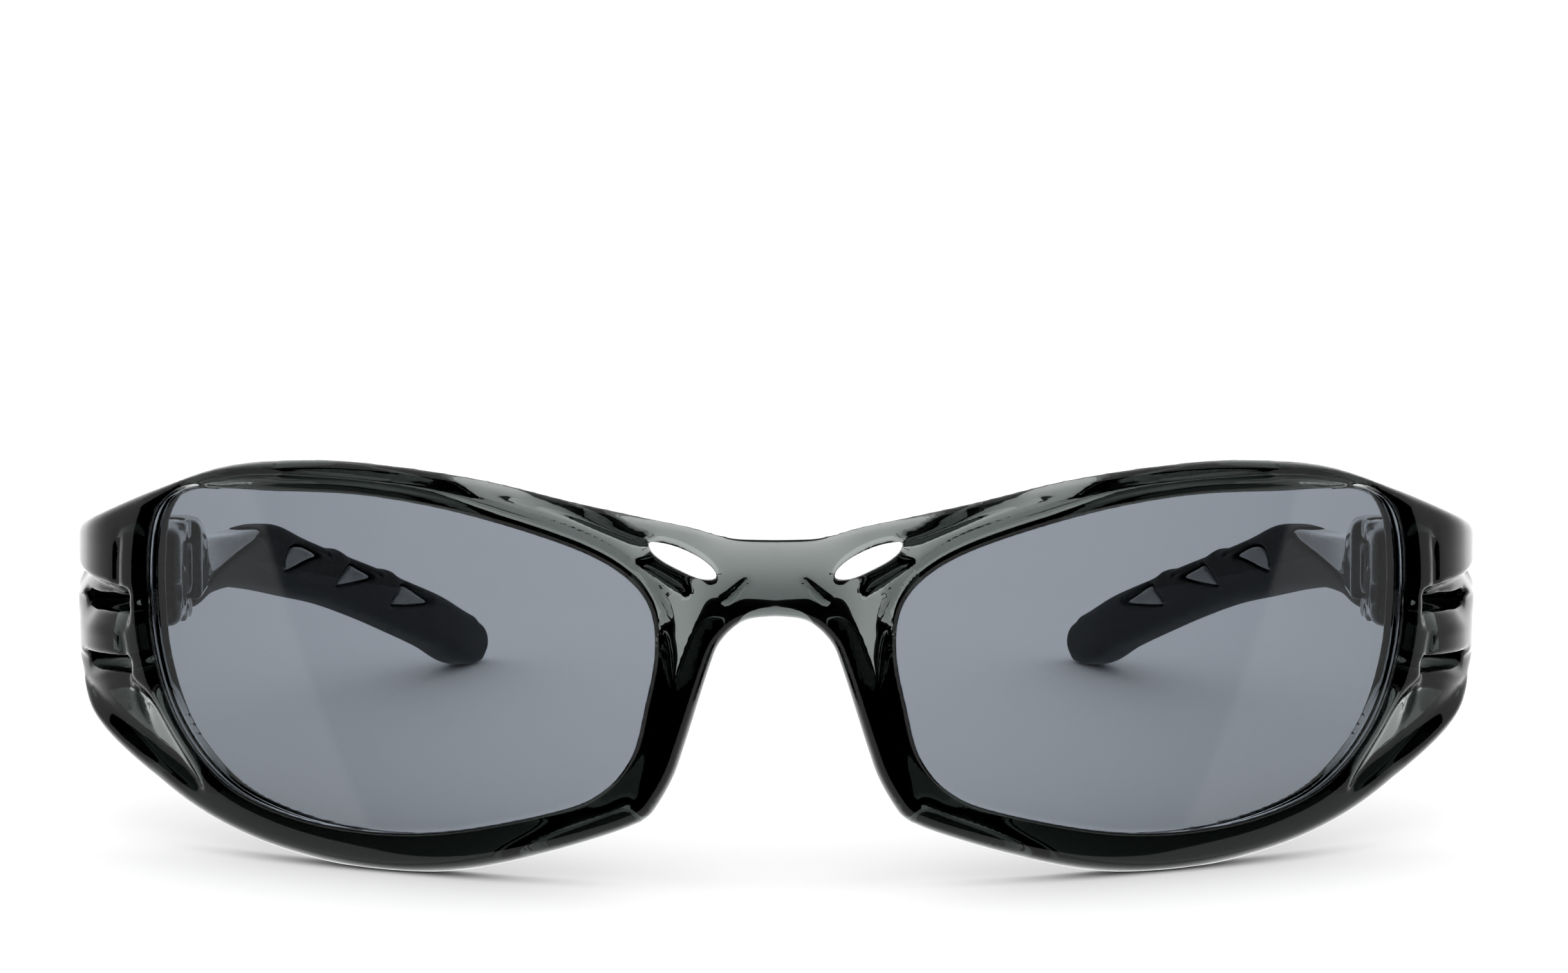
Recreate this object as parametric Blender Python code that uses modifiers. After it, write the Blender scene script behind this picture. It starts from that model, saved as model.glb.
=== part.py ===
"""Wrap-around safety glasses, standing open on their lower rims and temple tips.

Lengths in this file are millimetres, and to_world() turns them into metres. The front is drawn
flat, as it would be before bending: s runs along the curve of the face from the nose, z is
height and t is depth from the front surface towards the wearer. wrap() bends (s, z, t) round the
head. Pieces are placed with the frontmost point at y = 0 and the temple tips at y = DEPTH.
Everything is drawn for the wearer's left side, which is +X. The right side is its mirror image.
"""

import math

import bmesh
import bpy
from mathutils import Matrix, Vector

MM = 0.001
DEPTH = 146.0  # frontmost point of the brow to the end of the temple tips

# The plan curve of the front: a wide arc over both lenses, a tight one round each temple.
FACE_RADIUS = 90.0
FACE_TURN = math.radians(43)
CORNER_RADIUS = 21.5
CORNER_TURN = math.radians(39)
SAG_RADIUS = 85.0  # the front also curves back above and below the middle of the lenses
SAG_HEIGHT = 20.0

FRAME_DEPTH = 4.4
LENS_FRONT = 1.4
LENS_DEPTH = 2.0
LENS_LAP = 0.9  # how far the lens reaches into the rim's groove
GAP = 0.3

WEB_BACK = 2.2  # the thin panels of the frame end here
SADDLE_FRONT = FRAME_DEPTH + GAP
SADDLE_BACK = 9.2

# Hinge, on the wearer's left. The pin stands upright at the inner corner of the temple.
PIN_X, PIN_Y = 60.6, 44.1
KNUCKLE_RADIUS = 2.2
HINGE_BOTTOM, HINGE_TOP = 19.8, 29.7
LUG_HEIGHT = 2.1
FRAME_END = 41.5
TEMPLE_START = 41.9
HINGE_CLEAR_X = 63.2
HINGE_CLEAR_Y = 46.7
SCREW_RADIUS = 0.7
SCREW_HOLE_RADIUS = 0.95
SCREW_HEAD_RADIUS = 1.3
SCREW_HEAD_HEIGHT = 0.7
INSERT_RADIUS = 1.25
INSERT_HEIGHT = 1.5

# Temple: y, inner face, thickness, bottom and top at stations from hinge to tip.
TEMPLE = [
    (41.9, 58.3, 10.5, 20.1, 29.4),
    (47.0, 58.2, 10.1, 20.0, 28.4),
    (52.0, 58.0, 8.9, 19.8, 27.4),
    (60.0, 57.5, 6.8, 19.6, 26.3),
    (70.0, 56.0, 5.4, 18.6, 25.2),
    (80.0, 54.0, 4.9, 17.3, 24.4),
    (90.0, 51.4, 4.6, 15.4, 22.0),
    (100.0, 48.5, 4.4, 13.1, 19.2),
    (110.0, 45.3, 4.4, 10.2, 16.3),
    (120.0, 42.0, 4.5, 7.0, 13.2),
    (130.0, 38.6, 4.8, 3.7, 10.0),
    (138.0, 36.0, 4.9, 0.8, 7.1),
    (142.0, 34.9, 4.5, -0.35, 5.4),
]
SLEEVE_START = 47.0
SLEEVE_WALL = 1.0
SLEEVE_PLAY = 0.25
CORE_END = 134.0
TIP_LENGTH = DEPTH - TEMPLE[-1][0]
SECTION_POINTS = 18

# Side view of the rubber's upper edge: a low tongue from the hinge, then a rise to the top.
TONGUE_EDGE = [(47.0, 22.8), (58.0, 23.2), (68.0, 23.5), (72.5, 24.0), (75.0, 26.5)]
# Side view (y, z) of the three windows in the rubber.
WINDOWS = [
    [(84.2, 18.8), (84.2, 20.6), (86.5, 21.4), (90.0, 20.9), (94.3, 19.2), (91.0, 19.0)],
    [(99.3, 15.1), (99.5, 16.0), (103.0, 17.1), (105.0, 16.6), (109.3, 14.9), (107.0, 14.6)],
    [(114.3, 10.9), (116.0, 12.3), (118.0, 12.8), (121.6, 11.4), (125.4, 9.7), (122.5, 9.7)],
]

# Looks: colour, roughness, metallic and alpha.
SMOKE = ((0.10, 0.12, 0.12), 0.08, 0, 0.8)
TINT = ((0.28, 0.30, 0.34), 0.03, 0, 0.6)
RUBBER = ((0.015, 0.015, 0.017), 0.6, 0, 1)
STEEL = ((0.6, 0.6, 0.6), 0.3, 1, 1)
BRASS = ((0.7, 0.52, 0.25), 0.3, 1, 1)

# Flat drawing (s, z) of the left half of the front, from the brow down to the nose.
BROW = [(0, 33.2), (4, 33.35), (8.7, 34.1), (18.4, 36.3), (29.7, 38.4), (43.3, 39.3), (57.1, 37.9),
        (67.7, 34.8), (76.5, 31.8), (84, 30.4), (94, 29.7)]
UNDERSIDE = [(94, 19.8), (88, 19.2), (81, 15.4), (76.1, 11.9), (68.2, 8.0), (61, 4.5), (54.4, 2.1),
             (48.2, 0.6), (42, -0.05), (36, -0.05), (29.5, 0.8), (22.3, 2.7), (16, 4.8), (12.9, 6.1)]
NOSE_EDGE = [(11.7, 7.2), (9.9, 10.3), (8.7, 13.6), (6.3, 21), (5.1, 23.6), (2.9, 25.4), (0, 25.8)]
LENS_OPENING = [(50.7, 35.8), (42, 36.0), (33.7, 35.3), (25.9, 33.8), (18.4, 31.6), (14, 29.2),
                (11.8, 26.2), (11.5, 22), (12.4, 17.4), (13.7, 12.6), (16.5, 9.2), (21.1, 7.1),
                (31.9, 4.6), (41, 4.0), (50, 5.1), (57, 8), (62.3, 12.9), (65.2, 18.8), (66.2, 26),
                (65.4, 31.6), (62.6, 34.2), (57, 35.3)]
WEB_PANEL = [(60.6, 7.3), (67.5, 10.6), (74.5, 14.2), (78.5, 18), (79.5, 23), (77, 28.5), (71.5, 30),
             (70, 25), (68.8, 17.5), (66, 12)]
SADDLE_TOE = [(12.4, 6.7), (14.5, 7.4), (14.1, 9.8), (13.2, 13), (12.6, 17.8), (12.2, 21), (11.5, 24.9)]
SADDLE_TOP = [(9.4, 26.9), (6.4, 27.0), (4, 26.9), (0, 26.8)]
PAD_TRIANGLE = [(7.4, 25.4), (10.4, 25.2), (9.9, 19.4)]
BROW_SLOT = ((5.9, 29.6), (11.7, 32.4), 0.95)  # both centres of its round ends and their radius
BROW_GROOVE = ((8.9, 28.3), (12.4, 30.2), 0.6)
BROW_GROOVE_DEPTH = 1.4
GILLS = [((71, 23.5), (78.5, 23.2), 0.85), ((70, 17.7), (77, 17.4), 0.85)]


def plan_point(s):
    """Where the plan curve is at distance s along it: x, y and the direction it runs in."""
    face_run = FACE_RADIUS * FACE_TURN
    turn = min(s, face_run) / FACE_RADIUS
    x = FACE_RADIUS * math.sin(turn)
    y = FACE_RADIUS * (1 - math.cos(turn))
    if s > face_run:
        corner_run = min(s - face_run, CORNER_RADIUS * CORNER_TURN)
        start, turn = turn, turn + corner_run / CORNER_RADIUS
        x += CORNER_RADIUS * (math.sin(turn) - math.sin(start))
        y += CORNER_RADIUS * (math.cos(start) - math.cos(turn))
        straight = s - face_run - corner_run
        x += straight * math.cos(turn)
        y += straight * math.sin(turn)
    return x, y, turn


def wrap(s, z, t):
    """The flat drawing's (s, z, t) bent round the head, as (x, y, z)."""
    x, y, turn = plan_point(s)
    sag = (z - SAG_HEIGHT) ** 2 / (2 * SAG_RADIUS)
    return x - t * math.sin(turn), y + t * math.cos(turn) + sag, z


def to_world(x, y, z):
    return Vector((x, y - DEPTH / 2, z)) * MM


def smooth(points, closed=False, per_span=3):
    """Points along a Catmull-Rom curve through the given ones. It leaves out an open curve's last."""
    points = [Vector(p) for p in points]
    count = len(points)
    result = []
    for i in range(count if closed else count - 1):
        if closed:
            a, b, c, d = (points[(i + k) % count] for k in (-1, 0, 1, 2))
        else:
            a, b, c, d = (points[min(max(i + k, 0), count - 1)] for k in (-1, 0, 1, 2))
        for step in range(per_span):
            u = step / per_span
            result.append(0.5 * (2 * b + (c - a) * u + (2 * a - 5 * b + 4 * c - d) * u * u
                                 + (3 * b - a - 3 * c + d) * u**3))
    return [tuple(p) for p in result]


def offset(loop, distance):
    """A closed loop moved outwards by distance, each point along its own normal."""
    count = len(loop)
    area = sum(loop[i - 1][0] * loop[i][1] - loop[i][0] * loop[i - 1][1] for i in range(count))
    outward = distance * math.copysign(1, area)
    moved = []
    for i, (s, z) in enumerate(loop):
        along = Vector(loop[(i + 1) % count]) - Vector(loop[i - 1])
        along.normalize()
        moved.append((s + along.y * outward, z - along.x * outward))
    return moved


def capsule(start, end, radius, arc_points=8):
    """A slot's outline with round ends centred on start and end."""
    direction = math.atan2(end[1] - start[1], end[0] - start[0])
    loop = []
    for centre, turn in ((end, -math.pi / 2), (start, math.pi / 2)):
        for step in range(arc_points + 1):
            angle = direction + turn + math.pi * step / arc_points
            loop.append((centre[0] + radius * math.cos(angle), centre[1] + radius * math.sin(angle)))
    return loop


def front_outline():
    """The left half of the front. It runs on past the middle, where mirrored() cuts it off."""
    across = [(-2, BROW[0][1])]
    back = [NOSE_EDGE[-1], (-2, NOSE_EDGE[-1][1])]
    return across + smooth(BROW) + [BROW[-1]] + smooth(UNDERSIDE) + smooth(UNDERSIDE[-1:] + NOSE_EDGE) + back


def material(name, colour, roughness, metallic, alpha):
    made = bpy.data.materials.new(name)
    made.use_nodes = True
    shader = made.node_tree.nodes["Principled BSDF"]
    shader.inputs["Base Color"].default_value = (*colour, 1)
    shader.inputs["Roughness"].default_value = roughness
    shader.inputs["Metallic"].default_value = metallic
    shader.inputs["Alpha"].default_value = alpha
    return made


def new_object(name, mesh, collection):
    obj = bpy.data.objects.new(name, mesh)
    collection.objects.link(obj)
    return obj


def mesh_object(name, bm, collection):
    bmesh.ops.recalc_face_normals(bm, faces=bm.faces)
    if bm.calc_volume(signed=True) < 0:
        bmesh.ops.reverse_faces(bm, faces=bm.faces)
    mesh = bpy.data.meshes.new(name)
    bm.to_mesh(mesh)
    bm.free()
    return new_object(name, mesh, collection)


def flat_plate(loops, front, back, collection):
    """A flat outline with holes, as a bmesh between the depths front and back."""
    curve = bpy.data.curves.new("outline", "CURVE")
    curve.dimensions = "2D"
    curve.fill_mode = "BOTH"
    curve.extrude = (back - front) / 2
    for loop in loops:
        spline = curve.splines.new("POLY")
        spline.points.add(len(loop) - 1)
        for point, (s, z) in zip(spline.points, loop):
            point.co = (s, z, 0, 1)
        spline.use_cyclic_u = True
    outline = new_object("outline", curve, collection)
    outline.location.z = (front + back) / 2
    bpy.context.view_layer.update()
    mesh = bpy.data.meshes.new_from_object(outline.evaluated_get(bpy.context.evaluated_depsgraph_get()))
    mesh.transform(outline.matrix_world)
    bpy.data.objects.remove(outline)
    bm = bmesh.new()
    bm.from_mesh(mesh)
    bmesh.ops.remove_doubles(bm, verts=bm.verts, dist=1e-4)
    bmesh.ops.dissolve_limit(bm, angle_limit=0.001, verts=bm.verts, edges=bm.edges)
    return bm


def plate(name, loops, front, back, collection, strip=4.0, row=7.0):
    """A flat outline with holes, cut into strips and rows and bent round the head."""
    bm = flat_plate(loops, front, back, collection)
    for axis, spacing in ((0, strip), (1, row)):
        low = min(vertex.co[axis] for vertex in bm.verts)
        high = max(vertex.co[axis] for vertex in bm.verts)
        for i in range(math.ceil(low / spacing), math.floor(high / spacing) + 1):
            place, normal = Vector(), Vector()
            place[axis], normal[axis] = i * spacing, 1
            geometry = bm.verts[:] + bm.edges[:] + bm.faces[:]
            bmesh.ops.bisect_plane(bm, geom=geometry, plane_co=place, plane_no=normal, dist=1e-4)
    for vertex in bm.verts:
        vertex.co = to_world(*wrap(*vertex.co))
    bmesh.ops.triangulate(bm, faces=bm.faces)
    return mesh_object(name, bm, collection)


def box(name, low, high, collection):
    bm = bmesh.new()
    bmesh.ops.create_cube(bm, size=1)
    for vertex in bm.verts:
        vertex.co = to_world(*(lo if part < 0 else hi for part, lo, hi in zip(vertex.co, low, high)))
    return mesh_object(name, bm, collection)


def cylinder(name, radius, bottom, top, collection, segments=24):
    """An upright cylinder on the hinge pin's axis."""
    bm = bmesh.new()
    bmesh.ops.create_cone(bm, cap_ends=True, segments=segments, radius1=radius, radius2=radius, depth=1)
    for vertex in bm.verts:
        z = bottom if vertex.co.z < 0 else top
        vertex.co = to_world(PIN_X + vertex.co.x, PIN_Y + vertex.co.y, z)
    return mesh_object(name, bm, collection)


def prism(name, loop, collection):
    """A side-view outline (y, z) carried right through the temple."""
    bm = flat_plate([loop], 20, 80, collection)
    for vertex in bm.verts:
        y, z, x = vertex.co
        vertex.co = to_world(x, y, z)
    return mesh_object(name, bm, collection)


def loft(name, rings, collection):
    """A closed skin over rings of points, each ring with the same number of them."""
    bm = bmesh.new()
    rows = [[bm.verts.new(to_world(*point)) for point in ring] for ring in rings]
    for before, after in zip(rows, rows[1:]):
        for i in range(len(before)):
            bm.faces.new((before[i - 1], before[i], after[i], after[i - 1]))
    bm.faces.new(rows[0])
    bm.faces.new(rows[-1])
    return mesh_object(name, bm, collection)


def bake(obj):
    """Replaces an object's mesh by what its modifiers make of it."""
    bpy.context.view_layer.update()
    evaluated = obj.evaluated_get(bpy.context.evaluated_depsgraph_get())
    mesh = bpy.data.meshes.new_from_object(evaluated)
    obj.modifiers.clear()
    obj.data = mesh
    return obj


def combine(target, tool, operation):
    """Adds tool to target or cuts it away, and removes tool."""
    modifier = target.modifiers.new(operation, "BOOLEAN")
    modifier.operation = operation
    modifier.object = tool
    bake(target)
    bpy.data.objects.remove(tool)
    return target


def trim(obj, place, normal):
    """Cuts off what lies beyond a plane and closes the cut."""
    bm = bmesh.new()
    bm.from_mesh(obj.data)
    geometry = bm.verts[:] + bm.edges[:] + bm.faces[:]
    cut = bmesh.ops.bisect_plane(bm, geom=geometry, dist=1e-7, plane_co=place, plane_no=normal,
                                 clear_outer=True)
    rim = [part for part in cut["geom_cut"] if isinstance(part, bmesh.types.BMEdge)]
    filled = bmesh.ops.holes_fill(bm, edges=rim, sides=0)
    bmesh.ops.triangulate(bm, faces=filled["faces"])
    bm.to_mesh(obj.data)
    bm.free()


def mirrored(obj):
    """Makes a piece drawn as its left half whole."""
    modifier = obj.modifiers.new("mirror", "MIRROR")
    modifier.use_bisect_axis[0] = True
    modifier.bisect_threshold = 0.00001
    modifier.merge_threshold = 0.00002
    return bake(obj)


def right_hand(obj, name, collection):
    """A mirror-image copy of a left-hand piece."""
    bm = bmesh.new()
    bm.from_mesh(obj.data)
    for vertex in bm.verts:
        vertex.co.x = -vertex.co.x
    bmesh.ops.reverse_faces(bm, faces=bm.faces)
    return mesh_object(name, bm, collection)


def finish(obj, look, parent):
    """Gives a piece its own material and hangs it from an empty, with the piece's origin there."""
    colour, roughness, metallic, alpha = look
    obj.data.materials.clear()
    obj.data.materials.append(material(obj.name, colour, roughness, metallic, alpha))
    obj.data.shade_smooth()
    obj.data.set_sharp_from_angle(angle=math.radians(30))
    obj.data.transform(Matrix.Translation(-parent.location))
    obj.parent = parent


def temple_station(y):
    """The temple's inner face, thickness, bottom and top at y, read smoothly from TEMPLE."""
    i = next((k for k in range(len(TEMPLE) - 2) if y <= TEMPLE[k + 1][0]), len(TEMPLE) - 2)
    a, b, c, d = (TEMPLE[min(max(i + k, 0), len(TEMPLE) - 1)] for k in (-1, 0, 1, 2))
    u = (y - b[0]) / (c[0] - b[0])
    return [0.5 * (2 * q + (r - p) * u + (2 * p - 5 * q + 4 * r - w) * u * u + (3 * q - p - 3 * r + w) * u**3)
            for p, q, r, w in zip(a[1:], b[1:], c[1:], d[1:])]


def temple_ring(y, inset):
    """The temple's cross-section at y: a rectangle with well-rounded corners."""
    inner, thickness, bottom, top = temple_station(y)
    half_width = thickness / 2 - inset
    half_height = (top - bottom) / 2 - inset
    ring = []
    for k in range(SECTION_POINTS):
        angle = 2 * math.pi * (k + 0.5) / SECTION_POINTS
        across, up = math.cos(angle), math.sin(angle)
        across = math.copysign(abs(across) ** 0.6, across)
        up = math.copysign(abs(up) ** 0.6, up)
        ring.append((inner + thickness / 2 + across * half_width, y, (top + bottom) / 2 + up * half_height))
    return ring


def temple_rings(start, end, inset, spacing=5.0):
    count = math.ceil((end - start) / spacing)
    return [temple_ring(start + (end - start) * k / count, inset) for k in range(count + 1)]


def tip_rings():
    """The rounded end of the rubber, shrinking as a dome does."""
    start = TEMPLE[-1][0]
    last = temple_ring(start, 0)
    middle = [sum(axis) / len(last) for axis in zip(*last)]
    rings = []
    for turn in (30, 55, 75, 88):
        out, size = math.sin(math.radians(turn)), math.cos(math.radians(turn))
        ring = [[m + (p - m) * size for p, m in zip(point, middle)] for point in last]
        rings.append([(x - out, y + out * TIP_LENGTH, z - out * 0.3) for x, y, z in ring])
    return rings


def lens_outline(grow):
    return offset(smooth(LENS_OPENING, closed=True), grow)


def make_frame(collection):
    holes = [lens_outline(0), capsule(*BROW_SLOT), *(capsule(*gill) for gill in GILLS)]
    frame = plate("front_frame", [front_outline(), *holes], 0, FRAME_DEPTH, collection)
    trim(frame, to_world(0, FRAME_END, 0), (0, 1, 0))
    trim(frame, to_world(0, 0, 0), (0, 0, -1))
    cuts = [(lens_outline(LENS_LAP + GAP), LENS_FRONT - GAP, LENS_FRONT + LENS_DEPTH + GAP),
            (smooth(WEB_PANEL, closed=True), WEB_BACK, FRAME_DEPTH + 2),
            (capsule(*BROW_GROOVE), -1, BROW_GROOVE_DEPTH)]
    for loop, start, end in cuts:
        combine(frame, plate("cut", [loop], start, end, collection, strip=3.7, row=6.3), "DIFFERENCE")
    add_frame_hinge(frame, collection)
    return mirrored(frame)


def add_frame_hinge(frame, collection):
    """The block inside the end of the front, and the two lugs that hold the screw."""
    inner = PIN_X - KNUCKLE_RADIUS + 0.1
    block = box("block", (inner, 36.5, HINGE_BOTTOM), (66.5, FRAME_END - 0.05, HINGE_TOP), collection)
    combine(frame, block, "UNION")
    lugs = ((HINGE_BOTTOM, HINGE_BOTTOM + LUG_HEIGHT), (HINGE_TOP - LUG_HEIGHT, HINGE_TOP))
    for bottom, top in lugs:
        root = box("root", (inner, FRAME_END - 1, bottom + 0.01), (62.7, PIN_Y, top - 0.01), collection)
        eye = cylinder("eye", KNUCKLE_RADIUS, bottom, top, collection)
        combine(frame, combine(eye, root, "UNION"), "UNION")
    combine(frame, cylinder("hole", SCREW_HOLE_RADIUS, 0, 50, collection), "DIFFERENCE")
    head_bottom = HINGE_TOP - SCREW_HEAD_HEIGHT - GAP
    combine(frame, cylinder("seat", SCREW_HEAD_RADIUS + GAP, head_bottom, 50, collection), "DIFFERENCE")
    insert_seat = HINGE_BOTTOM + INSERT_HEIGHT + GAP / 2
    combine(frame, cylinder("pocket", INSERT_RADIUS + GAP / 2, 0, insert_seat, collection), "DIFFERENCE")


def make_saddle(collection):
    """The soft nose piece: a pad down each side of the nose, joined under the bridge."""
    under = [(-2, NOSE_EDGE[-1][1])] + smooth(NOSE_EDGE[::-1][:-1] + SADDLE_TOE[:1])
    outer = smooth(SADDLE_TOE) + smooth([SADDLE_TOE[-1]] + SADDLE_TOP)
    outline = under + outer + [SADDLE_TOP[-1], (-2, SADDLE_TOP[-1][1])]
    return mirrored(plate("nose_saddle", [outline, PAD_TRIANGLE], SADDLE_FRONT, SADDLE_BACK, collection))


def make_temple_arm(name, collection):
    arm = loft(name, temple_rings(TEMPLE_START, 78, 0), collection)
    edge = smooth([(y, z + SLEEVE_PLAY / 2) for y, z in TONGUE_EDGE]) + [(75, 45), (95, 45), (95, -9)]
    start = SLEEVE_START - SLEEVE_PLAY
    below = [(start, -9), (start, TONGUE_EDGE[0][1] + SLEEVE_PLAY / 2), *edge]
    combine(arm, prism("below", below, collection), "DIFFERENCE")
    core = loft("core", temple_rings(SLEEVE_START - 3, CORE_END, SLEEVE_WALL), collection)
    combine(arm, core, "UNION")
    clearance = box("clear", (50, 30, 0), (HINGE_CLEAR_X, HINGE_CLEAR_Y, 50), collection)
    combine(arm, clearance, "DIFFERENCE")
    low = HINGE_BOTTOM + LUG_HEIGHT + GAP
    high = HINGE_TOP - LUG_HEIGHT - GAP
    knuckle = cylinder("knuckle", KNUCKLE_RADIUS, low, high, collection)
    inner = PIN_X - KNUCKLE_RADIUS + 0.1
    root_bottom = TONGUE_EDGE[0][1] + GAP
    root = box("root", (inner, PIN_Y, root_bottom), (64, HINGE_CLEAR_Y + 1.5, high - 0.01), collection)
    combine(arm, combine(knuckle, root, "UNION"), "UNION")
    return combine(arm, cylinder("hole", SCREW_HOLE_RADIUS, 0, 50, collection), "DIFFERENCE")


def make_temple_sleeve(name, collection):
    rings = temple_rings(SLEEVE_START, TEMPLE[-1][0], 0) + tip_rings()
    sleeve = loft(name, rings, collection)
    edge = smooth([(y, z - SLEEVE_PLAY / 2) for y, z in TONGUE_EDGE]) + [(75, 45), (30, 45)]
    above = [(30, TONGUE_EDGE[0][1] - SLEEVE_PLAY / 2), *edge]
    combine(sleeve, prism("above", above, collection), "DIFFERENCE")
    bore = temple_rings(SLEEVE_START - 4, CORE_END + SLEEVE_PLAY, SLEEVE_WALL - SLEEVE_PLAY)
    combine(sleeve, loft("bore", bore, collection), "DIFFERENCE")
    for window in WINDOWS:
        combine(sleeve, prism("window", window, collection), "DIFFERENCE")
    trim(sleeve, to_world(0, 0, 0), (0, 0, -1))
    return sleeve


def make_screw(name, collection):
    """The hinge screw: a pan head in the upper lug and a shank down into the insert."""
    head_bottom = HINGE_TOP - SCREW_HEAD_HEIGHT - 0.1
    shank = cylinder(name, SCREW_RADIUS, HINGE_BOTTOM + 0.2, head_bottom + 0.1, collection)
    head = cylinder("head", SCREW_HEAD_RADIUS, head_bottom, HINGE_TOP - 0.1, collection)
    slot = box("slot", (PIN_X - 2, PIN_Y - 0.2, HINGE_TOP - 0.45), (PIN_X + 2, PIN_Y + 0.2, 40), collection)
    return combine(combine(shank, head, "UNION"), slot, "DIFFERENCE")


def make_insert(name, collection):
    """The threaded brass bush that the screw bites into, in the lower lug."""
    bush = cylinder(name, INSERT_RADIUS, HINGE_BOTTOM, HINGE_BOTTOM + INSERT_HEIGHT, collection)
    return combine(bush, cylinder("bore", SCREW_HOLE_RADIUS, 0, 50, collection), "DIFFERENCE")


def make_lens(name, collection):
    return plate(name, [lens_outline(LENS_LAP)], LENS_FRONT, LENS_FRONT + LENS_DEPTH, collection)


def empty(name, location, collection):
    obj = new_object(name, None, collection)
    obj.empty_display_size = 0.01
    obj.location = location
    return obj


def main():
    for obj in list(bpy.data.objects):
        bpy.data.objects.remove(obj)
    collection = bpy.data.collections.new("safety_glasses")
    bpy.context.scene.collection.children.link(collection)
    front = empty("front", (0, 0, 0), collection)
    finish(make_frame(collection), SMOKE, front)
    finish(make_saddle(collection), RUBBER, front)
    left_hinge = empty("left_hinge", to_world(PIN_X, PIN_Y, 0), collection)
    right_hinge = empty("right_hinge", to_world(-PIN_X, PIN_Y, 0), collection)
    pairs = [("lens", make_lens, TINT, False), ("hinge_screw", make_screw, STEEL, False),
             ("hinge_insert", make_insert, BRASS, False), ("temple_arm", make_temple_arm, SMOKE, True),
             ("temple_sleeve", make_temple_sleeve, RUBBER, True)]
    for noun, make, look, turns in pairs:
        left = make(f"left_{noun}", collection)
        right = right_hand(left, f"right_{noun}", collection)
        finish(left, look, left_hinge if turns else front)
        finish(right, look, right_hinge if turns else front)


main()
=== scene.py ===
"""Looks for the wrap-around safety glasses: fine surfaces, materials, studio and camera.

Sizes are in millimetres, in the CAD model's own frame moved so that the brow's frontmost point is at
y = 0; to_world() turns them into metres. The front is drawn flat: s runs along the curve of the face
from the nose, z is height and t is depth towards the wearer, and wrap() bends it round the head.
Moulded pieces are distance fields on a grid, negative inside, that skin() turns into meshes. They
are made for the wearer's left, +X, and mirrored for the right.
"""

import math

import bpy
import numpy as np
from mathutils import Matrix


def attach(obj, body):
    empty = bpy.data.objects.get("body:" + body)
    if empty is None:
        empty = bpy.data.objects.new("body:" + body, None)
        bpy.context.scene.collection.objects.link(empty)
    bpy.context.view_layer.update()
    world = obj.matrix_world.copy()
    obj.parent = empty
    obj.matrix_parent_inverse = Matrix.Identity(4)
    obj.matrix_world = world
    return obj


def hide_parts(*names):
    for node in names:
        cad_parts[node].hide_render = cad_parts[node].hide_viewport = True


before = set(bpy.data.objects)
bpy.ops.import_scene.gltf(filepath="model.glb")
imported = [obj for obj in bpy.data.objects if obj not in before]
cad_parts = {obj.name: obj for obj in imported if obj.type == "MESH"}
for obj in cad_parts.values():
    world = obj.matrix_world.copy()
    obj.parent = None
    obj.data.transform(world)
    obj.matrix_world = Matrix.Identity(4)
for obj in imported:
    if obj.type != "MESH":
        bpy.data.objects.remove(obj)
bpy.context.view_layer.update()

MM = 0.001
DEPTH = 146.0  # brow to temple tips
FRAME_DEPTH = 4.4
SIDE_BULGE = 1.3  # how far the side panels stand out past the bend
LENS_FRONT, LENS_DEPTH = 1.4, 2.0
LENS_LAP, GROOVE_ROOM = 0.45, 0.2  # the lens's edge inside the rim, and the groove's play round it
SADDLE_FRONT, SADDLE_INSET = 4.7, 0.6

# The bend of the front: a wide arc across the face, a tight one at each corner, then straight.
FACE_RADIUS, FACE_TURN = 90.0, math.radians(43)
CORNER_RADIUS, CORNER_TURN = 21.5, math.radians(39)
SAG_RADIUS, SAG_HEIGHT = 85.0, 20.0  # the front also curves back above and below this height

PIN_X, PIN_Y = 60.6, 44.1
HINGE_BOTTOM, HINGE_TOP = 19.8, 29.7
HINGE_MIDDLE = (HINGE_BOTTOM + HINGE_TOP) / 2
KNUCKLE_RADIUS, LUG_HEIGHT, LUG_GAP = 2.2, 2.1, 0.3  # the frame's two lugs hold the temple's knuckle
FRAME_END, TEMPLE_START = 41.5, 41.9
SCREW_RADIUS, SCREW_HOLE_RADIUS = 0.7, 0.95
HEAD_RADIUS, HEAD_HEIGHT = 1.3, 0.8
THREAD_PITCH, THREAD_DEPTH, THREAD_TOP = 0.42, 0.09, 25.0
NUT_RADIUS, NUT_BORE, NUT_HEIGHT = 1.2, 0.78, 1.5
SLEEVE_WALL = 1.0
CORE_END = 134.0  # where the hard core ends inside the sleeve

# The camera, matched to the photograph: place, dip in degrees, and lens and sensor as Blender has them.
CAMERA_PLACE = (0.78, -500 - DEPTH / 2, 97.65)
CAMERA_DIP, CAMERA_LENS, SENSOR_WIDTH = 6.777, 125.24, 36

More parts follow.
